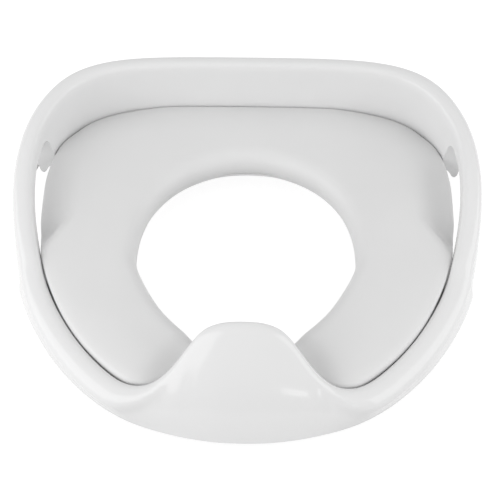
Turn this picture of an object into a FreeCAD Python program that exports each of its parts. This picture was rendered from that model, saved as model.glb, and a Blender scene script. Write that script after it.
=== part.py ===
"""Padded potty training seat that is set on an ordinary toilet seat.

A white moulded shell carries the child: a seat plate with a wide opening, a back wall that
rolls over into a rim, the rim running on as a grab rail past an open hand-hold on each side,
a low front band, and a splash guard that stands up in front of the opening. A soft pad in the
shape of a horseshoe lies in the shell. Under the plate a locating skirt drops into the toilet
opening, and rubber grips keep the seat from sliding.

Millimetres. +Z is up, +Y is towards the back wall, and X is the child's left and right. The
origin is the middle of the object's box, at the level that it stands on.

Plan angles run from the middle of the back (0 degrees) past the side (90) to the front (180).
"""
import FreeCAD
import Part
import math
import os

# Seat outline in plan, where the pad meets the wall.
SEAT_HALF_WIDTH = 171.0
SEAT_REAR_DEPTH = 124.5
SEAT_FRONT_DEPTH = 183.0
FRONT_ROUNDNESS = 2.0

# Opening in plan: an egg that narrows towards the guard.
HOLE_HALF_WIDTH = 93.0
HOLE_REAR_DEPTH = 100.0
HOLE_FRONT_DEPTH = 96.0
HOLE_REAR_POWER = 2.2
HOLE_FRONT_POWER = 1.45
HOLE_FORWARD = 38.0

# Plate, walls and the locating skirt.
LOCATING_DEPTH = 24.0
PLATE_THICKNESS = 2.6
WALL = 2.5
LIP_DROP = 8.5
LOCATING_WALL = 2.6
LOCATING_SETBACK = 16.0
LOCATING_REAR_SETBACK = 23.0
LOCATING_FRONT_DEPTH = 89.0
LOCATING_POWER = 2.3
LOCATING_FRONT_POWER = 2.6

# Rim heights above the plate.
BACK_RISE = 63.0
CORNER_RISE = 61.0
RAIL_REAR_RISE = 58.0
RAIL_MIDDLE_RISE = 41.5
RAIL_FRONT_RISE = 21.0
RAIL_END_STEP = 3.5
BAND_RISE = 17.0
GUARD_RISE = 64.5

# Rim widths, and how far the rim's skirt stands out from the seat outline.
BEAD_WIDTH = 14.5
RAIL_WIDTH = 17.7
BAND_WIDTH = 21.0
GUARD_EDGE_WIDTH = 10.0
BACK_SKIRT_OUT = 18.5
SIDE_SKIRT_OUT = 24.5
FRONT_SKIRT_OUT = 9.0
BACK_HEM_DROP = 7.0
SIDE_HEM_DROP = 12.0

# Hand-holds.
RAIL_DEPTH = 15.0
HANDHOLD_REAR = 70.0
HANDHOLD_FRONT = -56.0
HANDHOLD_ROUNDING = 8.0
TONGUE_ROUNDING = 5.0

# Pad.
PAD_EDGE_HEIGHT = 19.0
PAD_CROWN = 21.0
PAD_OVERHANG = 2.5
PAD_CLEARANCE = 0.8
PAD_CORNER_CLEARANCE = 1.4
PAD_OVER_LIP = 2.0
PAD_END_ANGLE = 161.0
PAD_HOLE_TURN = 0.965
SCOOP_DEPTH = 8.0
PAD_FACE_SPAN_COUNT = 4
PEG_RADIUS = 3.4
PEG_CLEARANCE = 0.4
PEG_LENGTH = 6.0
PEG_ANGLES = (20.0, 84.0, 132.0)

# Rubber grips and the plate's ribs.
GRIP_ANGLES = {"rear": 48.0, "front": 112.0}
GRIP_LENGTH = 34.0
GRIP_WIDTH = 13.0
GRIP_HEIGHT = 6.0
GRIP_GROOVE = 1.2
STUD_RADIUS = 2.6
STUD_CLEARANCE = 0.3
RIB_THICKNESS = 2.0
RIB_DEPTH = 5.0
RIB_ANGLES = (0.0, 12.0, 30.0, 66.0, 78.0, 92.0, 126.0, 140.0)

# Levels and centres that follow from the sizes above.
PLATE_BOTTOM = LOCATING_DEPTH
PLATE_TOP = PLATE_BOTTOM + PLATE_THICKNESS
LIP_LEVEL = PLATE_TOP - LIP_DROP
SEAT_CENTRE_Y = (SEAT_FRONT_DEPTH + FRONT_SKIRT_OUT - SEAT_REAR_DEPTH - BACK_SKIRT_OUT) / 2
HOLE_CENTRE_Y = SEAT_CENTRE_Y - HOLE_FORWARD

# How the outline and the rim change on their way round, by plan angle.
SQUARENESS = {0: 4.2, 46: 4.45, 60: 4.0, 90: 3.4}
RISE = {
    0: BACK_RISE, 45: CORNER_RISE, 61: RAIL_REAR_RISE, 85: RAIL_MIDDLE_RISE,
    105: RAIL_FRONT_RISE, 118: BAND_RISE, 150: BAND_RISE - 1.5, 153: BAND_RISE,
    157: BAND_RISE + 4.5, 159.5: BAND_RISE + 11.0, 161.5: BAND_RISE + 20.0,
    164: BAND_RISE + 32.0, 167: BAND_RISE + 40.0, 171: GUARD_RISE - 2.5, 180: GUARD_RISE,
}
INNER_EDGE = {
    0: 4.5, 20: 4.8, 36: 6.0, 48: 4.5, 58: 4.0, 70: 7.8, 84: 7.8, 92: 4.7, 98: 2.0, 106: 0.0,
    116: 0.0, 148: 0.0, 150: -1.0, 153: -4.6, 155: -7.3, 156.7: -11.0, 158.9: -18.0, 160.7: -26.5, 163: -36.0,
    166.2: -48.0, 169.3: -52.5, 174: -55.0, 180: -56.0,
}
LEAN = {
    0: 4.5, 36: 5.7, 48: 4.5, 58: 3.5, 70: 6.3, 84: 7.8, 106: 1.0, 150: 1.0, 161: 5.0, 180: 7.0,
}
WIDTH = {
    0: BEAD_WIDTH, 58: BEAD_WIDTH, 70: BEAD_WIDTH + 0.8, 84: RAIL_WIDTH, 98: RAIL_WIDTH, 116: BAND_WIDTH,
    148: BAND_WIDTH, 158: 16.0, 166: GUARD_EDGE_WIDTH, 180: GUARD_EDGE_WIDTH,
}
FALL = {0: 0.5, 100: 1.0, 116: 5.0, 150: 6.0, 158: 4.0, 166: 1.0, 180: 1.0}
SKIRT_OUT = {
    0: BACK_SKIRT_OUT, 20: BACK_SKIRT_OUT, 36: BACK_SKIRT_OUT + 1.5, 48: BACK_SKIRT_OUT - 0.5,
    58: BACK_SKIRT_OUT, 72: SIDE_SKIRT_OUT - 1.0, 90: SIDE_SKIRT_OUT, 108: SIDE_SKIRT_OUT - 2.0,
    130: 20.5, 150: 16.5, 165: 11.2, 180: FRONT_SKIRT_OUT,
}
HEM_DROP = {0: BACK_HEM_DROP, 54: BACK_HEM_DROP, 64: SIDE_HEM_DROP, 180: SIDE_HEM_DROP}
PAD_GAP = {
    0: PAD_CLEARANCE, 22: PAD_CLEARANCE, 44: PAD_CORNER_CLEARANCE, 56: PAD_CORNER_CLEARANCE,
    70: PAD_CLEARANCE, 77: -PAD_OVER_LIP, 89: -PAD_OVER_LIP, 94: PAD_CLEARANCE,
}
SCOOP = {0: 0.0, 56: 0.0, 70: 1.0, 84: 0.8, 100: 0.0}
PAD_END = {0: 1.0, 150: 1.0, 156: 0.93, 159: 0.75, 161: 0.4}

RIM_STATIONS = [
    0, 16, 30, 41, 50, 59, 70, 83, 95, 102, 105, 108, 116, 130, 142, 149,
    153, 156.5, 160, 163, 166, 170, 175, 180,
]
PAD_STATIONS = [0, 20, 36, 48, 60, 70, 77, 86, 93, 101, 118, 136, 150, 156, 159, PAD_END_ANGLE]


def law(angle, stops):
    """A size that changes round the seat: it runs smoothly through its stops, never past them."""
    angles = sorted(stops)
    if angle <= angles[0]:
        return stops[angles[0]]
    if angle >= angles[-1]:
        return stops[angles[-1]]
    spans = list(zip(angles, angles[1:]))
    slopes = [(stops[b] - stops[a]) / (b - a) for a, b in spans]
    tangents = [0.0]
    for before, after in zip(slopes, slopes[1:]):
        turns = before * after <= 0
        tangents.append(0.0 if turns else 2 * before * after / (before + after))
    tangents.append(0.0)
    i = max(k for k, (a, b) in enumerate(spans) if a <= angle)
    a, b = spans[i]
    t = (angle - a) / (b - a)
    straight = stops[a] + (stops[b] - stops[a]) * t * t * (3 - 2 * t)
    return straight + (b - a) * (t * (1 - t) ** 2 * tangents[i] - t * t * (1 - t) * tangents[i + 1])


def egg_point(angle, half_width, rear, front, rear_power, front_power, centre_y):
    """Where the ray at that plan angle leaves a rounded outline about (0, centre_y)."""
    side, back = math.sin(math.radians(angle)), math.cos(math.radians(angle))
    depth, power = (rear, rear_power) if back > 0 else (front, front_power)
    reach = (abs(side / half_width) ** power + abs(back / depth) ** power) ** (-1 / power)
    return reach * side, centre_y + reach * back


def seat_point(angle, out=0.0):
    """A point of the seat outline, moved out by that much."""
    return egg_point(
        angle, SEAT_HALF_WIDTH + out, SEAT_REAR_DEPTH + out, SEAT_FRONT_DEPTH + out,
        law(angle, SQUARENESS), FRONT_ROUNDNESS, SEAT_CENTRE_Y,
    )


def hole_point(angle, out=0.0):
    """A point of the opening's outline, moved out by that much."""
    return egg_point(
        angle, HOLE_HALF_WIDTH + out, HOLE_REAR_DEPTH + out, HOLE_FRONT_DEPTH + out,
        HOLE_REAR_POWER, HOLE_FRONT_POWER, HOLE_CENTRE_Y,
    )


def locating_point(angle, out=0.0):
    """A point of the locating skirt's outer face, moved out by that much."""
    return egg_point(
        angle, HOLE_HALF_WIDTH + LOCATING_SETBACK + out, HOLE_REAR_DEPTH + LOCATING_REAR_SETBACK + out,
        LOCATING_FRONT_DEPTH + out, LOCATING_POWER, LOCATING_FRONT_POWER, HOLE_CENTRE_Y,
    )


def foot(angle):
    """How far the inner wall's foot stands out from the seat outline."""
    return law(angle, INNER_EDGE) - law(angle, LEAN)


def rim_section(angle):
    """The rim's skin at one angle, from the inner foot over the crest to the hem: (out, height)."""
    crest = PLATE_TOP + law(angle, RISE)
    bottom, inner = foot(angle), law(angle, INNER_EDGE)
    width, fall, skirt = law(angle, WIDTH), law(angle, FALL), law(angle, SKIRT_OUT)
    hem = PLATE_TOP - law(angle, HEM_DROP)
    outer = inner + width
    drop = min(14.0, 0.8 * (crest - PLATE_TOP))
    shoulder = crest - fall
    side = shoulder - hem
    reach = skirt - outer
    slope = law(angle, {0: 0.0, 152: 0.0, 162: 1.0, 180: 1.0})
    step = RAIL_END_STEP * law(angle, {0: 0.0, 92: 0.0, 103.5: 1.0, 105: 1.0, 108.5: 0.0, 180: 0.0})
    return [
        (bottom, LIP_LEVEL),
        (bottom, PLATE_TOP - 2),
        (bottom + 0.3 * (inner - bottom), PLATE_TOP + 0.35 * (crest - drop - PLATE_TOP)),
        (inner, crest - drop),
        (inner, crest + step),
        (inner + 0.5 * width, crest + step),
        (outer, shoulder),
        (outer + reach * 0.45 * slope, shoulder - side * (0.42 - 0.12 * slope)),
        (outer + reach * (1 - 0.18 * slope), hem + side * (0.28 + 0.07 * slope)),
        (skirt, hem),
    ]


def rim_net():
    """Control points of the rim's outer skin, one row for each station."""
    net = []
    for angle in RIM_STATIONS:
        row = [FreeCAD.Vector(*seat_point(angle, out), level) for out, level in rim_section(angle)]
        net.append(row)
    return net


def level_ends(net):
    """Makes a half net meet its mirror image smoothly in the middle of the object."""
    for end, beside in ((0, 1), (-1, -2)):
        for point, neighbour in zip(net[end], net[beside]):
            point.x = 0.0
            neighbour.y, neighbour.z = point.y, point.z


def inset_net(net, thickness):
    """The same net moved inwards through the wall."""
    last = len(net) - 1

    def row(i):
        if i < 0:
            return [FreeCAD.Vector(-p.x, p.y, p.z) for p in net[-i]]
        if i > last:
            return [FreeCAD.Vector(-p.x, p.y, p.z) for p in net[2 * last - i]]
        return net[i]

    inset = []
    for i, points in enumerate(net):
        before, after = row(i - 1), row(i + 1)
        moved = []
        for j, point in enumerate(points):
            along = after[j] - before[j]
            across = points[min(j + 1, len(points) - 1)] - points[max(j - 1, 0)]
            moved.append(point + across.cross(along).normalize() * thickness)
        moved[0].z, moved[-1].z = points[0].z, points[-1].z
        inset.append(moved)
    return inset


def knots(count, degree):
    """Knots and multiplicities of a curve that starts and ends on its outer control points."""
    spans = count - degree
    return [float(k) for k in range(spans + 1)], [degree + 1] + [1] * (spans - 1) + [degree + 1]


def skin(net, degree_across=3):
    """A smooth surface over a net of control points."""
    u_knots, u_mults = knots(len(net), 3)
    v_knots, v_mults = knots(len(net[0]), degree_across)
    surface = Part.BSplineSurface()
    surface.buildFromPolesMultsKnots(
        net, u_mults, v_mults, u_knots, v_knots, False, False, 3, degree_across
    )
    return surface


def stretches(surface, spans):
    """Parameter ranges that cut a skin lengthways after that many spans."""
    low, high = surface.bounds()[:2]
    marks = list(range(int(low), int(high), spans)) + [high]
    return list(zip(marks, marks[1:]))


def lengths(surface, spans):
    """A long skin as several faces, which meet smoothly."""
    faces = []
    for start, end in stretches(surface, spans):
        length = surface.copy()
        length.segment(start, end, *surface.bounds()[2:])
        faces.append(length.toShape())
    return faces


def runs(surface, level, spans):
    """The lengthways edges of those faces at one level across."""
    curve = surface.vIso(level)
    return [curve.toShape(start, end) for start, end in stretches(surface, spans)]


def closed_solid(faces):
    shell = Part.Shell(faces)
    shell.sewShape()
    solid = Part.Solid(shell)
    if solid.Volume < 0:
        solid.reverse()
    return solid


def rim_half():
    """Half of the hollow rim, from the middle of the back round to the middle of the guard."""
    outer_net = rim_net()
    level_ends(outer_net)
    inner_net = inset_net(outer_net, WALL)
    level_ends(inner_net)
    outer, inner = skin(outer_net), skin(inner_net)
    faces = [outer.toShape(), inner.toShape()]
    for column in (0, -1):
        faces.append(skin([[a[column], b[column]] for a, b in zip(outer_net, inner_net)], 1).toShape())
    for end, u in ((0, outer.bounds()[0]), (-1, outer.bounds()[1])):
        edges = [
            outer.uIso(u).toShape(),
            inner.uIso(u).toShape(),
            Part.makeLine(outer_net[end][0], inner_net[end][0]),
            Part.makeLine(outer_net[end][-1], inner_net[end][-1]),
        ]
        faces.append(Part.Face(Part.Wire(Part.__sortEdges__(edges))))
    return closed_solid(faces)


def with_mirror(shape):
    return shape.fuse(shape.mirror(FreeCAD.Vector(0, 0, 0), FreeCAD.Vector(1, 0, 0)))


def smooth_edge(points):
    edge_knots, mults = knots(len(points), 3)
    curve = Part.BSplineCurve()
    curve.buildFromPolesMultsKnots(points, mults, edge_knots, False, 3)
    return curve.toShape()


def plan_face(point_at, angles, level):
    """A level face inside a closed outline that is the same on both sides of the middle."""
    half = [FreeCAD.Vector(*point_at(angle), level) for angle in angles]
    half[0].x = half[-1].x = 0.0
    half[1].y, half[-2].y = half[0].y, half[-1].y
    other = [FreeCAD.Vector(-p.x, p.y, p.z) for p in half]
    return Part.Face(Part.Wire([smooth_edge(half), smooth_edge(list(reversed(other)))]))


def plan_block(point_at, angles, bottom, top):
    return plan_face(point_at, angles, bottom).extrude(FreeCAD.Vector(0, 0, top - bottom))


def oval_angles():
    return [180 * k / 16 for k in range(17)]


def seat_plate():
    """The plate under the pad, with the opening, and its edge inside the wall's foot."""
    plate = plan_block(lambda a: seat_point(a, foot(a) + WALL / 2), RIM_STATIONS, PLATE_BOTTOM, PLATE_TOP)
    below, above = PLATE_BOTTOM - 1, PLATE_TOP + 1
    opening = plan_block(hole_point, oval_angles(), below, above)
    inside = plan_block(lambda a: locating_point(a, -LOCATING_WALL), oval_angles(), below, above)
    return plate.cut(opening.common(inside))


def locating_skirt():
    outside = plan_block(locating_point, oval_angles(), 0, PLATE_TOP - 0.5)
    inside = plan_block(lambda a: locating_point(a, -LOCATING_WALL), oval_angles(), -1, PLATE_TOP)
    return outside.cut(inside)


def across_plate(angle, share):
    """A place on the plate, between the locating skirt (0) and the seat outline (1)."""
    near, far = locating_point(angle), seat_point(angle, foot(angle))
    return near[0] + share * (far[0] - near[0]), near[1] + share * (far[1] - near[1])


def rib(angle, side):
    """A stiffening rib under the plate, from the locating skirt out to the plate's lip."""
    near, far = across_plate(angle, -0.01), across_plate(angle, 1.005)
    length = math.hypot(far[0] - near[0], far[1] - near[1])
    bar = Part.makeBox(
        length, RIB_THICKNESS, RIB_DEPTH + 0.5,
        FreeCAD.Vector(0, -RIB_THICKNESS / 2, PLATE_BOTTOM - RIB_DEPTH),
    )
    turn = math.degrees(math.atan2(far[1] - near[1], side * (far[0] - near[0])))
    bar.rotate(FreeCAD.Vector(0, 0, 0), FreeCAD.Vector(0, 0, 1), turn)
    bar.translate(FreeCAD.Vector(side * near[0], near[1], 0))
    return bar


def handhold_tool():
    """What is cut away under the two rails: seen from the side, below the rail and open downwards."""
    top = []
    for angle in range(72, 104, 6):
        point_y = seat_point(angle)[1]
        top.append(FreeCAD.Vector(0, point_y, PLATE_TOP + law(angle, RISE) - RAIL_DEPTH))
    rear, front = SEAT_CENTRE_Y + HANDHOLD_REAR, SEAT_CENTRE_Y + HANDHOLD_FRONT
    hem = PLATE_TOP - SIDE_HEM_DROP
    tip = TONGUE_ROUNDING
    bottom = -5.0
    rear_top = FreeCAD.Vector(0, rear, top[0].z)
    front_top = FreeCAD.Vector(0, front, top[-1].z - 3)
    underside = Part.BSplineCurve()
    underside.interpolate(Points=[rear_top] + top[1:] + [front_top])

    def corner(edge_y, way):
        middle = FreeCAD.Vector(0, edge_y + way * tip * (1 - 0.7071), hem + tip * (1 - 0.7071))
        begin = FreeCAD.Vector(0, edge_y, hem + tip)
        end = FreeCAD.Vector(0, edge_y + way * tip, hem)
        return begin, Part.Arc(begin, middle, end).toShape(), end

    rear_begin, rear_arc, rear_end = corner(rear, 1)
    front_begin, front_arc, front_end = corner(front, -1)
    rear_low = FreeCAD.Vector(0, rear_end.y, bottom)
    front_low = FreeCAD.Vector(0, front_end.y, bottom)
    edges = [
        underside.toShape(),
        Part.makeLine(rear_top, rear_begin), rear_arc, Part.makeLine(rear_end, rear_low),
        Part.makeLine(rear_low, front_low), Part.makeLine(front_low, front_end), front_arc,
        Part.makeLine(front_begin, front_top),
    ]
    profile = Part.Face(Part.Wire(Part.__sortEdges__(edges)))
    reach = 2 * (SEAT_HALF_WIDTH + 2 * SIDE_SKIRT_OUT)
    block = profile.extrude(FreeCAD.Vector(reach, 0, 0))
    block.translate(FreeCAD.Vector(-reach / 2, 0, 0))
    upper = [edge_along_x(block, point) for point in (rear_top, front_top)]
    block = block.makeFillet(HANDHOLD_ROUNDING, upper)
    kept_lip = plan_block(lambda a: seat_point(a, foot(a) + WALL), RIM_STATIONS, bottom - 1, PLATE_TOP)
    above = PLATE_TOP + 2 * BACK_RISE
    kept_middle = plan_block(lambda a: seat_point(a, foot(a) - WALL), RIM_STATIONS, PLATE_TOP - 1, above)
    return block.cut(kept_lip).cut(kept_middle)


def edge_along_x(block, point):
    """The edge of a block that runs along X through that point's depth and height."""
    for edge in block.Edges:
        box = edge.BoundBox
        level = abs(box.Center.y - point.y) + abs(box.Center.z - point.z) < 0.01
        if level and box.XLength > 1:
            return edge


def filled_rim_half():
    """The space inside the rim's outer skin, closed across its foot."""
    net = rim_net()
    level_ends(net)
    outer = skin(net)
    faces = [outer.toShape(), skin([[row[0], row[-1]] for row in net], 1).toShape()]
    for end, u in ((0, outer.bounds()[0]), (-1, outer.bounds()[1])):
        across = Part.makeLine(net[end][0], net[end][-1])
        faces.append(Part.Face(Part.Wire(Part.__sortEdges__([outer.uIso(u).toShape(), across]))))
    return closed_solid(faces)


def tongue_outline(wall):
    """Lower edge of the wall that closes the rim behind a hand-hold: (out, height), tongue in the middle."""
    hem = PLATE_TOP - SIDE_HEM_DROP
    steps = [
        (-12, PLATE_TOP), (0, PLATE_TOP - 0.2), (5, PLATE_TOP - 1.6), (8.5, hem + 6), (10.6, hem + 2),
        (12.5, hem + 0.4), (14.4, hem + 2), (15.5, hem + 6.5), (17, PLATE_TOP - 1), (21, PLATE_TOP + 0.5),
        (36, PLATE_TOP + 1),
    ]
    return [(wall + out, height) for out, height in steps]


def handhold_ends(rim):
    """Walls that close the hollow rim at both ends of each hand-hold."""
    rear = SEAT_CENTRE_Y + HANDHOLD_REAR
    front = SEAT_CENTRE_Y + HANDHOLD_FRONT - WALL
    wall = next(seat_point(a * 0.5)[0] for a in range(90, 180) if seat_point(a * 0.5)[1] < rear)
    curve = Part.BSplineCurve()
    curve.interpolate(Points=[FreeCAD.Vector(x, rear, z) for x, z in tongue_outline(wall)])
    left, right = curve.StartPoint, curve.EndPoint
    high = PLATE_TOP + BACK_RISE
    edges = [
        curve.toShape(), Part.makeLine(right, FreeCAD.Vector(right.x, rear, high)),
        Part.makeLine(FreeCAD.Vector(right.x, rear, high), FreeCAD.Vector(left.x, rear, high)),
        Part.makeLine(FreeCAD.Vector(left.x, rear, high), left),
    ]
    rear_wall = Part.Face(Part.Wire(Part.__sortEdges__(edges))).extrude(FreeCAD.Vector(0, WALL, 0))
    front_wall = Part.makeBox(
        right.x - left.x, WALL, high, FreeCAD.Vector(left.x, front, PLATE_TOP - SIDE_HEM_DROP)
    )
    lower = rim.copy()
    lower.translate(FreeCAD.Vector(0, 0, -TONGUE_ROUNDING))
    room = rim.fuse(lower)
    return room.common(rear_wall).Solids + rim.common(front_wall).Solids


def make_shell():
    pieces = [with_mirror(rim_half()), seat_plate(), locating_skirt()]
    for angle in RIB_ANGLES:
        for side in (-1, 1) if angle else (1,):
            pieces.append(rib(angle, side))
    shell = pieces[0].fuse(pieces[1:])
    cuts = [handhold_tool()]
    for x, y in peg_places():
        cuts.append(upright(PEG_RADIUS + PEG_CLEARANCE, x, y, PLATE_BOTTOM - 1, PLATE_TOP + 1))
    for x, y, _ in grip_places().values():
        cuts.append(upright(STUD_RADIUS + STUD_CLEARANCE, x, y, PLATE_BOTTOM - 1, PLATE_TOP + 1))
    right_ends = handhold_ends(filled_rim_half())
    left_ends = [end.mirror(FreeCAD.Vector(0, 0, 0), FreeCAD.Vector(1, 0, 0)) for end in right_ends]
    return shell.cut(cuts).fuse(right_ends + left_ends)


def upright(radius, x, y, bottom, top):
    return Part.makeCylinder(radius, top - bottom, FreeCAD.Vector(x, y, bottom))


def peg_places():
    places = []
    for angle in PEG_ANGLES:
        x, y = across_plate(angle, 0.5)
        places += [(x, y), (-x, y)]
    return places


def pad_section(angle):
    """Pad section at one angle: (share of the way out, distance from that share, height)."""
    scoop = law(angle, SCOOP)
    edge = PAD_EDGE_HEIGHT - SCOOP_DEPTH * scoop
    crown = PAD_CROWN
    return [
        (0, 1.0, 0.0),
        (0, -PAD_OVERHANG, 0.22 * crown),
        (0, -PAD_OVERHANG, 0.66 * crown),
        (0, 6.0, 0.95 * crown),
        (0, 20.0, 1.04 * crown),
        (0.5, 0.0, crown + 0.5),
        (1, -22.0 - 8 * scoop, crown),
        (1, -1.5 - 9 * scoop, edge + 2 - 2 * scoop),
        (1, 0.2, 0.7 * edge),
        (1, -0.4, 0.0),
    ]


def make_pad():
    """The horseshoe pad: one skin from the hole's edge over the crown to the wall, and a flat base."""
    half = []
    for angle in PAD_STATIONS:
        near = FreeCAD.Vector(*hole_point(angle * PAD_HOLE_TURN), 0)
        far = FreeCAD.Vector(*seat_point(angle, foot(angle) - law(angle, PAD_GAP)), 0)
        way = (far - near).normalize()
        tall = law(angle, PAD_END)
        row = []
        for share, shift, height in pad_section(angle):
            point = near + (far - near) * share + way * shift * (0.4 + 0.6 * tall)
            row.append(point + FreeCAD.Vector(0, 0, PLATE_TOP + height * tall))
        half.append(row)
    for point in half[0]:
        point.x = 0.0
    net = [[FreeCAD.Vector(-p.x, p.y, p.z) for p in row] for row in reversed(half[1:])] + half
    top = skin(net)
    u_low, u_high, v_low, v_high = top.bounds()
    faces = lengths(top, PAD_FACE_SPAN_COUNT)
    base_edges = [face_edge for v in (v_low, v_high) for face_edge in runs(top, v, PAD_FACE_SPAN_COUNT)]
    for row, u in ((net[0], u_low), (net[-1], u_high)):
        low_edge = Part.makeLine(row[0], row[-1])
        base_edges.append(low_edge)
        faces.append(Part.Face(Part.Wire(Part.__sortEdges__([top.uIso(u).toShape(), low_edge]))))
    faces.append(Part.Face(Part.Wire(Part.__sortEdges__(base_edges))))
    pad = closed_solid(faces)
    pegs = [
        upright(PEG_RADIUS, x, y, PLATE_TOP - PEG_LENGTH, PLATE_TOP + 2) for x, y in peg_places()
    ]
    return pad.fuse(pegs)


def grip_places():
    """Middle of each rubber grip and the direction that it lies in."""
    places = {}
    for end, angle in GRIP_ANGLES.items():
        x, y = across_plate(angle, 0.55)
        before, after = across_plate(angle - 4, 0.55), across_plate(angle + 4, 0.55)
        turn = math.degrees(math.atan2(after[1] - before[1], after[0] - before[0]))
        places[end + "_right_grip"] = (x, y, turn)
        places[end + "_left_grip"] = (-x, y, -turn)
    return places


def make_grip(x, y, turn):
    """A rubber foot with rounded ends, cross grooves and a stud that holds it in the plate."""
    radius, straight = GRIP_WIDTH / 2, GRIP_LENGTH - GRIP_WIDTH
    bottom = PLATE_BOTTOM - GRIP_HEIGHT
    foot_block = Part.makeBox(
        straight, GRIP_WIDTH, GRIP_HEIGHT, FreeCAD.Vector(-straight / 2, -radius, bottom)
    )
    ends = [upright(radius, side * straight / 2, 0, bottom, PLATE_BOTTOM) for side in (-1, 1)]
    grip = foot_block.fuse(ends).removeSplitter()
    low = [e for e in grip.Edges if e.BoundBox.ZMax < bottom + 0.01]
    grip = grip.makeChamfer(1.0, low)
    for k in range(-3, 4):
        groove = Part.makeBox(
            GRIP_GROOVE, GRIP_WIDTH + 2, GRIP_GROOVE,
            FreeCAD.Vector(k * 3.6 - GRIP_GROOVE / 2, -radius - 1, bottom - 0.1),
        )
        grip = grip.cut(groove)
    grip = grip.fuse(upright(STUD_RADIUS, 0, 0, PLATE_BOTTOM - 1, PLATE_TOP - 0.3))
    grip.rotate(FreeCAD.Vector(0, 0, 0), FreeCAD.Vector(0, 0, 1), turn)
    grip.translate(FreeCAD.Vector(x, y, 0))
    return grip


os.makedirs("parts", exist_ok=True)
nodes = {"shell": make_shell(), "seat_pad": make_pad()}
for name, (x, y, turn) in grip_places().items():
    nodes[name] = make_grip(x, y, turn)
for name, shape in nodes.items():
    solids = shape.Solids
    print(name, "valid", shape.isValid(), "solids", len(solids), "volume", round(shape.Volume))
    solid = solids[0] if len(solids) == 1 else shape
    solid.exportStep("parts/" + name + ".step")
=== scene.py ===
"""A padded potty training seat, dressed and lit on a white studio floor."""
import math

import bmesh
import bpy
import numpy as np
from mathutils import Matrix, Vector


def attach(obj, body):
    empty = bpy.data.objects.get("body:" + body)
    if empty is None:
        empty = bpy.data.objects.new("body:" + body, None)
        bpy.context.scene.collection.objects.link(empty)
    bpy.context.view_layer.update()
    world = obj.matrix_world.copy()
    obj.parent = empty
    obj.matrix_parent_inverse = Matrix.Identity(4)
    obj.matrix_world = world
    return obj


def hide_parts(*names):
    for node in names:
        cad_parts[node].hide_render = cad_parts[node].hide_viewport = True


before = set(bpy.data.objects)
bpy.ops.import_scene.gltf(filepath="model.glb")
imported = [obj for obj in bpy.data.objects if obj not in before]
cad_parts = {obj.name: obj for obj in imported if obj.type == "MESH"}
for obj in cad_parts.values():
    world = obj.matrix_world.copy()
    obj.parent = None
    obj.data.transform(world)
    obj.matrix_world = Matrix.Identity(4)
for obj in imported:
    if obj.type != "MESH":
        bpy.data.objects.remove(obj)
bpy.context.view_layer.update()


# Moulded shell. One glossy white polypropylene moulding: plate, back wall, rails, front band and
# splash guard. It comes off a polished mould, so the surface is smooth with a faint waviness.
class Finish:
    """A moulded surface: one shader whose colour, gloss and relief vary over the object."""

    def __init__(self, name, colour, roughness):
        self.material = bpy.data.materials.new(name)
        self.material.use_nodes = True
        self.nodes = self.material.node_tree.nodes
        self.links = self.material.node_tree.links
        self.shader = self.nodes["Principled BSDF"]
        self.shader.inputs["Base Color"].default_value = (*colour, 1.0)
        self.shader.inputs["Roughness"].default_value = roughness
        self.place = self.nodes.new("ShaderNodeTexCoord").outputs["Object"]

    def speckle(self, scale, detail=3.0):
        noise = self.nodes.new("ShaderNodeTexNoise")
        noise.inputs["Scale"].default_value = scale
        noise.inputs["Detail"].default_value = detail
        self.links.new(self.place, noise.inputs["Vector"])
        return noise.outputs["Fac"]

    def colour(self, scale, dark, light):
        ramp = self.nodes.new("ShaderNodeValToRGB")
        for element, share, shade in zip(ramp.color_ramp.elements, SPECKLE_RANGE, (dark, light)):
            element.position = share
            element.color = (*shade, 1.0)
        self.links.new(self.speckle(scale), ramp.inputs["Fac"])
        self.links.new(ramp.outputs["Color"], self.shader.inputs["Base Color"])

    def roughness(self, scale, low, high):
        span = self.nodes.new("ShaderNodeMapRange")
        span.inputs["From Min"].default_value, span.inputs["From Max"].default_value = SPECKLE_RANGE
        span.inputs["To Min"].default_value, span.inputs["To Max"].default_value = low, high
        self.links.new(self.speckle(scale), span.inputs["Value"])
        self.links.new(span.outputs["Result"], self.shader.inputs["Roughness"])

    def relief(self, scale, detail, depth):
        bump = self.nodes.new("ShaderNodeBump")
        bump.inputs["Strength"].default_value = 1.0
        bump.inputs["Distance"].default_value = depth
        self.links.new(self.speckle(scale, detail), bump.inputs["Height"])
        self.links.new(bump.outputs["Normal"], self.shader.inputs["Normal"])


SPECKLE_RANGE = (0.3, 0.7)

gloss_white = Finish("shell_plastic_gloss", colour=(0.80, 0.80, 0.80), roughness=0.2)
gloss_white.colour(scale=9.0, dark=(0.795, 0.795, 0.797), light=(0.81, 0.81, 0.81))
gloss_white.roughness(scale=60.0, low=0.08, high=0.13)
gloss_white.relief(scale=30.0, detail=1.0, depth=0.0001)
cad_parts["shell"].material_slots[0].material = gloss_white.material


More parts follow.
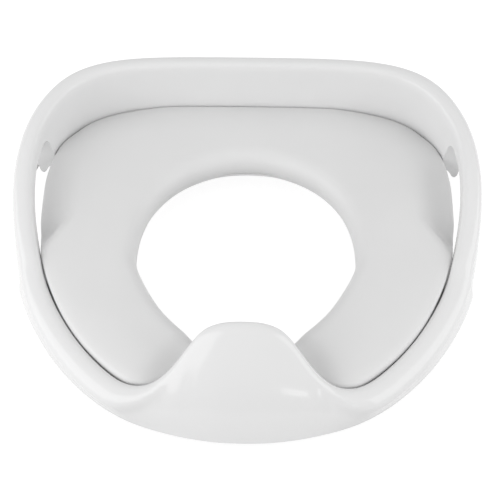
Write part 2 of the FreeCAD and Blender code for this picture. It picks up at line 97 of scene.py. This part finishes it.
# Seat pad. A soft foam horseshoe with a smooth satin skin, moulded in one piece. It is pressed into
# the shell up to the wall, its top is crowned, and beside each hand-hold its edge is scooped out.
# Plan angles run from the middle of the back (0) over the side (90) to the front (180).
MM = 0.001
PLATE_TOP = 26.6
SEAT_MIDDLE, SEAT_HALF_WIDTH, SEAT_REAR, SEAT_FRONT = 24.5, 171.0, 124.5, 183.0
SEAT_FRONT_POWER = 2.0
HOLE_MIDDLE, HOLE_HALF_WIDTH, HOLE_REAR, HOLE_FRONT = -13.5, 93.0, 100.0, 96.0
HOLE_REAR_POWER, HOLE_FRONT_POWER = 2.2, 1.45
WALL_SHIFT = {
    0: -0.25, 30: -0.3, 44: -1.5, 56: -1.8, 65: -1.2, 76: 1.4, 88: 1.4, 95: -0.8, 106: -1.5,
    118: -2.2, 138: -2.2, 146: -2.0, 150: -2.5, 153: -6.6, 155: -9.8, 156.7: -14.8, 158.9: -23.0,
    161: -33.0, 163: -41.0,
}


def ease(value, low, high):
    """0 below low, 1 above high, smooth between."""
    t = min(1.0, max(0.0, (value - low) / (high - low)))
    return t * t * (3 - 2 * t)


def along_stops(angle, stops):
    """A size that changes round the seat, eased from each stop to the next."""
    angles = sorted(stops)
    for low, high in zip(angles, angles[1:]):
        if angle < high:
            thirds = ease(angle, low, high) + 2 * (angle - low) / (high - low)
            return stops[low] + (stops[high] - stops[low]) * thirds / 3
    return stops[angles[-1]]


def outline(angle, half_width, rear, front, rear_power, front_power, middle):
    """Where the ray at a plan angle meets a rounded outline."""
    across, along = math.sin(math.radians(angle)), math.cos(math.radians(angle))
    depth, power = (rear, rear_power) if along > 0 else (front, front_power)
    reach = (abs(across / half_width) ** power + abs(along / depth) ** power) ** (-1 / power)
    return Vector((reach * across, middle + reach * along, 0.0))


def wall_point(angle):
    """Where the pad meets the shell's inner wall; its free ends at the front turn in."""
    a = abs(angle)
    rear_power = 4.2 + 0.25 * ease(a, 0, 46) - 0.45 * ease(a, 46, 60) - 0.6 * ease(a, 60, 90)
    out = along_stops(a, WALL_SHIFT)
    return outline(
        angle, SEAT_HALF_WIDTH + out, SEAT_REAR + out, SEAT_FRONT + out,
        rear_power, SEAT_FRONT_POWER, SEAT_MIDDLE,
    )


def hole_point(angle):
    return outline(
        angle, HOLE_HALF_WIDTH, HOLE_REAR, HOLE_FRONT,
        HOLE_REAR_POWER, HOLE_FRONT_POWER, HOLE_MIDDLE,
    )


# The pad's section: a roll at the opening, a crown that falls away to the wall, a small roll there
# and a flat base. Each is given in mm, and as points of the ring that runs round the section.
PAD_CROWN = 20.5
PAD_EDGE = {0: 14.0, 30: 14.0, 50: 9.8, 57: 10.2, 67: 15.5, 80: 18.0, 150: 18.0}
PAD_LEAN = {0: 1.0, 150: 1.0, 161: 4.0}
PAD_LEAN_HEIGHT = 18.0
CROWN_FALL = 34.0
HOLE_ROLL, HOLE_ROLL_TUCK = 12.5, 6.0
WALL_OVERLAP = 0.3
WALL_BULGE = 0.45
HOLE_SETBACK, HOLE_UNDERCUT, HOLE_UNDERCUT_HEIGHT = 2.2, 0.4, 0.35
HOLE_ROLL_SPANS, CROWN_SPANS, WALL_ROLL_SPANS, BASE_SPANS = 6, 16, 3, 8
HOLE_ANGLE_SHARE = 0.965


def pad_section(angle):
    """The section at a plan angle, from the opening over the crown to the wall and back below.

    Towards the front it gets lower, rolls wider at the wall and reaches less over the opening.
    """
    a = abs(angle)
    width = (wall_point(angle) - hole_point(angle * HOLE_ANGLE_SHARE)).length
    end = 1 - 0.25 * ease(a, 149, 160)
    crown, edge = PAD_CROWN * end, along_stops(a, PAD_EDGE) * end
    wall_roll = 0.8 + 0.8 * ease(a, 45, 60) + 3.0 * ease(a, 104, 128)
    start = -2.2 - 1.5 * ease(a, 5, 22) + 2.6 * ease(a, 103, 135)
    stop = width + WALL_OVERLAP
    lean = along_stops(a, PAD_LEAN) / PAD_LEAN_HEIGHT
    ring = []
    for k in range(HOLE_ROLL_SPANS + 1):
        turn = math.radians(-HOLE_ROLL_TUCK + (90 + HOLE_ROLL_TUCK) * k / HOLE_ROLL_SPANS)
        out, down = HOLE_ROLL * (1 - math.cos(turn)), HOLE_ROLL * (1 - math.sin(turn))
        ring.append((start + out, crown - down))
    flat = stop - wall_roll - (start + HOLE_ROLL)
    for k in range(1, CROWN_SPANS):
        out = start + HOLE_ROLL + flat * k / CROWN_SPANS
        height = crown - (crown - edge) * max(0.0, 1 - (stop - out) / CROWN_FALL) ** 2
        ring.append((out + lean * edge * (k / CROWN_SPANS) ** 3, height))
    for k in range(WALL_ROLL_SPANS + 1):
        turn = math.radians(90 - 90 * k / WALL_ROLL_SPANS)
        height = edge - wall_roll * (1 - math.sin(turn))
        ring.append((stop + lean * height - wall_roll * (1 - math.cos(turn)), height))
    ring += [(stop + WALL_BULGE * lean * edge, WALL_BULGE * edge), (stop, 0.0)]
    base_start = start + HOLE_SETBACK
    for k in range(1, BASE_SPANS):
        ring.append((stop + (base_start - stop) * k / BASE_SPANS, 0.0))
    undercut = HOLE_UNDERCUT_HEIGHT * (crown - HOLE_ROLL)
    ring += [(base_start, 0.0), (start + HOLE_UNDERCUT, undercut)]
    return ring, start, stop, crown


SCOOP_DEPTH, SCOOP_FLOOR, SCOOP_WIDTH = 15.0, 8.0, 38.0
SCOOP_REAR, SCOOP_REAR_END = 58, 92
SCOOP_FRONT, SCOOP_SLANT, SCOOP_FRONT_EASE = 101.0, 0.46, 5.0
END_FLATTENING = 0.6


def pad_ring(angle, shrink=0.0):
    """The section set in its place, with the scoop by the hand-hold; shrink closes the end."""
    near = hole_point(angle * HOLE_ANGLE_SHARE)
    across = wall_point(angle) - near
    way = across / across.length
    ring, start, stop, crown = pad_section(angle)
    centre = near + way * 0.5 * (start + stop)
    points = []
    for out, height in ring:
        inside = stop - out
        front_end = SCOOP_FRONT - SCOOP_SLANT * inside
        dip = 1 - ease(inside, SCOOP_FLOOR, SCOOP_WIDTH)
        dip *= ease(abs(angle), SCOOP_REAR, SCOOP_REAR_END)
        dip *= 1 - ease(abs(angle), front_end - SCOOP_FRONT_EASE, front_end)
        level = (height - SCOOP_DEPTH * dip * height / crown) * (1 - END_FLATTENING * shrink)
        point = near + way * out
        point = point + (centre - point) * shrink
        points.append(Vector((point.x, point.y, PLATE_TOP + level)) * MM)
    return points


PAD_ROWS, PAD_END_ANGLE = 200, 161.0
PAD_END_ROWS = ((1.0, 0.35), (0.6, 0.12))


def pad_mesh():
    """The pad's closed skin of square faces, with a rounded end at each side of the front."""
    turns = [-PAD_END_ANGLE + 2 * PAD_END_ANGLE * k / PAD_ROWS for k in range(PAD_ROWS + 1)]
    ends = [(-PAD_END_ANGLE - further, shrink) for further, shrink in PAD_END_ROWS]
    rows = ends + [(turn, 0.0) for turn in turns] + [(-turn, s) for turn, s in reversed(ends)]
    mesh = bmesh.new()
    rings = [[mesh.verts.new(point) for point in pad_ring(turn, shrink)] for turn, shrink in rows]
    for one, other in zip(rings, rings[1:]):
        for k in range(len(one)):
            after = (k + 1) % len(one)
            mesh.faces.new((one[k], one[after], other[after], other[k]))
    mesh.faces.new(rings[0])
    mesh.faces.new(list(reversed(rings[-1])))
    bmesh.ops.recalc_face_normals(mesh, faces=mesh.faces)
    data = bpy.data.meshes.new("seat_cushion")
    mesh.to_mesh(data)
    mesh.free()
    return data


CLOTH_STEPS, CLOTH_PRESSURE = 20, 4.0
HELD_HEIGHT = 2.0
EVENING_PASSES, EVENING_SHARE = 60, 0.15
SWELL_UP, SWELL_DOWN, SWELL_ASIDE = 1.6, 0.5, 0.3


def swell(piece, ring_length):
    """Blows the foam skin up a little with a cloth simulation; the base stays flat on the plate."""
    before = np.array([v.co for v in piece.data.vertices])
    held = piece.vertex_groups.new(name="held")
    low = [i for i, point in enumerate(before) if point[2] < (PLATE_TOP + HELD_HEIGHT) * MM]
    held.add(low, 1.0, "REPLACE")
    cloth = piece.modifiers.new("foam_skin", "CLOTH")
    cloth.settings.use_pressure = True
    cloth.settings.uniform_pressure_force = CLOTH_PRESSURE
    cloth.settings.vertex_group_mass = "held"
    cloth.settings.effector_weights.gravity = 0.0
    cloth.point_cache.frame_start, cloth.point_cache.frame_end = 1, CLOTH_STEPS
    scene = bpy.context.scene
    for number in range(1, CLOTH_STEPS + 1):
        scene.frame_set(number)
    ready = piece.evaluated_get(bpy.context.evaluated_depsgraph_get())
    after = np.array([v.co for v in ready.data.vertices])
    piece.modifiers.remove(cloth)
    piece.vertex_groups.remove(held)
    scene.frame_set(1)
    # The skin of real foam has no creases, so what moved is evened out over the rings and limited.
    moves = (after - before).reshape(-1, ring_length, 3)
    still = np.zeros(len(before), bool)
    still[low] = True
    still = still.reshape(-1, ring_length)
    for _ in range(EVENING_PASSES):
        beside = np.concatenate([moves[:1], moves[:-1]]) + np.concatenate([moves[1:], moves[-1:]])
        around = np.roll(moves, 1, axis=1) + np.roll(moves, -1, axis=1)
        moves = (1 - 4 * EVENING_SHARE) * moves + EVENING_SHARE * (beside + around)
        moves[still] = 0.0
    moves = moves.reshape(-1, 3)
    aside = np.maximum(np.linalg.norm(moves[:, :2], axis=1), 1e-9)
    moves[:, :2] *= np.minimum(1.0, SWELL_ASIDE * MM / aside)[:, None]
    moves[:, 2] = np.clip(moves[:, 2], -SWELL_DOWN * MM, SWELL_UP * MM)
    for vertex, point in zip(piece.data.vertices, before + moves):
        vertex.co = point


def math_step(nodes, links, operation, *values):
    """What a Math node makes of numbers and other nodes' outputs."""
    step = nodes.new("ShaderNodeMath")
    step.operation = operation
    for socket, value in zip(step.inputs, values):
        if isinstance(value, float):
            socket.default_value = value
        else:
            links.new(value, socket)
    return step.outputs[0]


PEG_TIP_START, PEG_TIP_CLOSING = 0.75, 0.9
PEG_STATIONS, PEG_SIDES = 14, 24


def peg_tree(material):
    """Nodes that hang a round peg with a domed tip under each point."""
    tree = bpy.data.node_groups.new("pad_pegs", "GeometryNodeTree")
    for name, way, kind in (
        ("Places", "INPUT", "Geometry"), ("Peg radius", "INPUT", "Float"),
        ("Peg length", "INPUT", "Float"), ("Pegs", "OUTPUT", "Geometry"),
    ):
        tree.interface.new_socket(name, in_out=way, socket_type="NodeSocket" + kind)
    nodes, links = tree.nodes, tree.links
    given, made = nodes.new("NodeGroupInput"), nodes.new("NodeGroupOutput")
    downward = math_step(nodes, links, "MULTIPLY", given.outputs["Peg length"], -1.0)
    tip_place = nodes.new("ShaderNodeCombineXYZ")
    links.new(downward, tip_place.inputs["Z"])
    axis = nodes.new("GeometryNodeCurvePrimitiveLine")
    links.new(tip_place.outputs[0], axis.inputs["End"])
    stations = nodes.new("GeometryNodeResampleCurve")
    stations.inputs["Count"].default_value = PEG_STATIONS
    links.new(axis.outputs[0], stations.inputs["Curve"])
    along = nodes.new("GeometryNodeSplineParameter")
    tip = nodes.new("ShaderNodeMapRange")
    tip.inputs["From Min"].default_value = PEG_TIP_START
    tip.inputs["To Max"].default_value = PEG_TIP_CLOSING
    links.new(along.outputs["Factor"], tip.inputs["Value"])
    squared = math_step(nodes, links, "POWER", tip.outputs["Result"], 2.0)
    dome = math_step(nodes, links, "SQRT", math_step(nodes, links, "SUBTRACT", 1.0, squared))
    radius = math_step(nodes, links, "MULTIPLY", dome, given.outputs["Peg radius"])
    round_bar = nodes.new("GeometryNodeCurvePrimitiveCircle")
    round_bar.inputs["Resolution"].default_value = PEG_SIDES
    round_bar.inputs["Radius"].default_value = 1.0
    peg = nodes.new("GeometryNodeCurveToMesh")
    peg.inputs["Fill Caps"].default_value = True
    links.new(stations.outputs["Curve"], peg.inputs["Curve"])
    links.new(round_bar.outputs["Curve"], peg.inputs["Profile Curve"])
    links.new(radius, peg.inputs["Scale"])
    placed = nodes.new("GeometryNodeInstanceOnPoints")
    links.new(given.outputs["Places"], placed.inputs["Points"])
    links.new(peg.outputs["Mesh"], placed.inputs["Instance"])
    real = nodes.new("GeometryNodeRealizeInstances")
    links.new(placed.outputs["Instances"], real.inputs["Geometry"])
    cover = nodes.new("GeometryNodeSetMaterial")
    cover.inputs["Material"].default_value = material
    links.new(real.outputs["Geometry"], cover.inputs["Geometry"])
    links.new(cover.outputs["Geometry"], made.inputs["Pegs"])
    return tree


PEG_PLACES = ((43.8, 125.84), (139.87, 20.2), (104.68, -88.76))
PEG_RADIUS, PEG_LENGTH, PEG_ROOT = 3.4, 7.5, 1.5


def add_pegs(piece, material):
    """Moulds the pegs on to the underside of the pad, where the plate has its holes."""
    height = PLATE_TOP + PEG_ROOT
    places = [Vector((side * x, y, height)) * MM for x, y in PEG_PLACES for side in (-1, 1)]
    points = bpy.data.meshes.new("peg_places")
    points.from_pydata(places, [], [])
    holder = bpy.data.objects.new("peg_places", points)
    bpy.context.collection.objects.link(holder)
    pegs = holder.modifiers.new("pegs", "NODES")
    pegs.node_group = peg_tree(material)
    sockets = pegs.node_group.interface.items_tree
    pegs[sockets["Peg radius"].identifier] = PEG_RADIUS * MM
    pegs[sockets["Peg length"].identifier] = PEG_LENGTH * MM
    ready = holder.evaluated_get(bpy.context.evaluated_depsgraph_get())
    mesh = bmesh.new()
    mesh.from_mesh(bpy.data.meshes.new_from_object(ready))
    bpy.data.objects.remove(holder)
    bmesh.ops.recalc_face_normals(mesh, faces=mesh.faces)
    for face in mesh.faces:
        face.material_index = 0
    mesh.from_mesh(piece.data)
    mesh.to_mesh(piece.data)
    mesh.free()


cushion = bpy.data.objects.new("seat_cushion", pad_mesh())
bpy.context.collection.objects.link(cushion)
swell(cushion, len(pad_ring(0.0)))
satin_skin = Finish("pad_skin_satin", colour=(0.74, 0.74, 0.74), roughness=0.45)
satin_skin.colour(scale=14.0, dark=(0.755, 0.755, 0.755), light=(0.775, 0.775, 0.775))
satin_skin.roughness(scale=90.0, low=0.40, high=0.5)
satin_skin.relief(scale=900.0, detail=2.0, depth=0.00003)
cushion.data.materials.append(satin_skin.material)
add_pegs(cushion, satin_skin.material)
smoother = cushion.modifiers.new("finer", "SUBSURF")
smoother.levels = smoother.render_levels = 1
for face in cushion.data.polygons:
    face.use_smooth = True
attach(cushion, "root")
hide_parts("seat_pad")


# Rubber grips. Four pale grey rubber feet with cross grooves under the plate, each held by a stud
# in a hole of the plate. They keep the seat from sliding on the toilet seat that carries it.
grey_rubber = Finish("grip_rubber_matt", colour=(0.50, 0.50, 0.51), roughness=0.6)
grey_rubber.colour(scale=80.0, dark=(0.48, 0.48, 0.49), light=(0.52, 0.52, 0.53))
for end in ("rear_right", "rear_left", "front_right", "front_left"):
    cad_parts[end + "_grip"].material_slots[0].material = grey_rubber.material


# Studio. A white floor that runs on into white air, a large soft box on each side and a small card
# at the front right. The camera and the gloss of the plastic see a white floor, while the light
# that it throws back on to the seat is that of a greyer one.
FLOOR_HALF_WIDTH = 3.0
FLOOR_GREY, FLOOR_SEEN_GREY, FLOOR_GLOW = 0.6, 0.3, 0.85
AIR_LIGHT, AIR_SEEN = 0.65, 1.0
LAMP_DISTANCE = 1.5


def floor_material():
    material = bpy.data.materials.new("studio_floor_white")
    material.use_nodes = True
    nodes, links = material.node_tree.nodes, material.node_tree.links
    nodes.clear()
    paint, seen = nodes.new("ShaderNodeBsdfDiffuse"), nodes.new("ShaderNodeBsdfDiffuse")
    paint.inputs["Color"].default_value = (FLOOR_GREY, FLOOR_GREY, FLOOR_GREY, 1.0)
    seen.inputs["Color"].default_value = (FLOOR_SEEN_GREY, FLOOR_SEEN_GREY, FLOOR_SEEN_GREY, 1.0)
    glow = nodes.new("ShaderNodeEmission")
    glow.inputs["Strength"].default_value = FLOOR_GLOW
    glowing = nodes.new("ShaderNodeAddShader")
    links.new(seen.outputs[0], glowing.inputs[0])
    links.new(glow.outputs[0], glowing.inputs[1])
    ray = nodes.new("ShaderNodeLightPath").outputs
    mix = nodes.new("ShaderNodeMixShader")
    either = math_step(nodes, links, "MAXIMUM", ray["Is Camera Ray"], ray["Is Glossy Ray"])
    links.new(either, mix.inputs[0])
    links.new(paint.outputs[0], mix.inputs[1])
    links.new(glowing.outputs[0], mix.inputs[2])
    out = nodes.new("ShaderNodeOutputMaterial")
    links.new(mix.outputs[0], out.inputs["Surface"])
    return material


corners = [
    (x * FLOOR_HALF_WIDTH, y * FLOOR_HALF_WIDTH, 0) for x, y in ((-1, -1), (1, -1), (1, 1), (-1, 1))
]
floor_mesh = bpy.data.meshes.new("studio_floor")
floor_mesh.from_pydata(corners, [], [(0, 1, 2, 3)])
floor_mesh.materials.append(floor_material())
floor = bpy.data.objects.new("studio_floor", floor_mesh)
bpy.context.collection.objects.link(floor)

air = bpy.data.worlds.new("studio_air")
bpy.context.scene.world = air
air.use_nodes = True
nodes, links = air.node_tree.nodes, air.node_tree.links
nodes["Background"].inputs["Color"].default_value = (1.0, 1.0, 1.0, 1.0)
level = nodes.new("ShaderNodeMapRange")
level.inputs["To Min"].default_value, level.inputs["To Max"].default_value = AIR_LIGHT, AIR_SEEN
links.new(nodes.new("ShaderNodeLightPath").outputs["Is Camera Ray"], level.inputs["Value"])
links.new(level.outputs["Result"], nodes["Background"].inputs["Strength"])


def direction(azimuth, elevation):
    """From the seat towards the studio, in degrees; azimuth 0 is the front, 90 the right."""
    across, up = math.radians(azimuth), math.radians(elevation)
    level_share = math.cos(up)
    return Vector((math.sin(across) * level_share, -math.cos(across) * level_share, math.sin(up)))


def soft_box(name, azimuth, elevation, size, power, turn):
    """A lamp in that direction, facing the seat and turned about its own axis."""
    light = bpy.data.lights.new(name, "AREA")
    light.shape = "RECTANGLE"
    light.size, light.size_y = size
    light.energy = power
    lamp = bpy.data.objects.new(name, light)
    bpy.context.collection.objects.link(lamp)
    toward = direction(azimuth, elevation)
    facing = toward.to_track_quat("Z", "Y").to_matrix().to_4x4()
    turned = Matrix.Rotation(math.radians(turn), 4, "Z")
    lamp.matrix_world = Matrix.Translation(toward * LAMP_DISTANCE) @ facing @ turned


soft_box("left_soft_box", azimuth=-66, elevation=26, size=(2.0, 1.3), power=12.5, turn=26)
soft_box("right_soft_box", azimuth=78, elevation=26, size=(1.6, 1.1), power=8.0, turn=-24)
soft_box("small_card", azimuth=21, elevation=15.5, size=(0.17, 0.12), power=0.15, turn=-10)


# Camera. A long lens that looks down on the seat from in front, turned and tilted by the little
# that the photograph is. Its focal length is given in pixels of a picture 500 pixels wide.
CAMERA_AZIMUTH, CAMERA_ELEVATION, CAMERA_ROLL = 1.353, 55.0, -0.338
CAMERA_DISTANCE, CAMERA_TARGET = 1.2, Vector((0.00319, -0.0032, 0.0401))
FOCAL_PIXELS, PICTURE_PIXELS, SENSOR_WIDTH = 1464.0, 500.0, 36.0

away = direction(CAMERA_AZIMUTH, CAMERA_ELEVATION)
side = (-away).cross(Vector((0, 0, 1))).normalized()
upward = side.cross(-away)
roll = math.radians(CAMERA_ROLL)
right = side * math.cos(roll) + upward * math.sin(roll)
top = upward * math.cos(roll) - side * math.sin(roll)
lens = bpy.data.cameras.new("studio_camera")
lens.sensor_width = SENSOR_WIDTH
lens.lens = FOCAL_PIXELS / PICTURE_PIXELS * SENSOR_WIDTH
camera = bpy.data.objects.new("studio_camera", lens)
bpy.context.collection.objects.link(camera)
spot = CAMERA_TARGET + away * CAMERA_DISTANCE
camera.matrix_world = Matrix.Translation(spot) @ Matrix((right, top, away)).transposed().to_4x4()
bpy.context.scene.camera = camera
bpy.context.scene.view_settings.view_transform = "Standard"
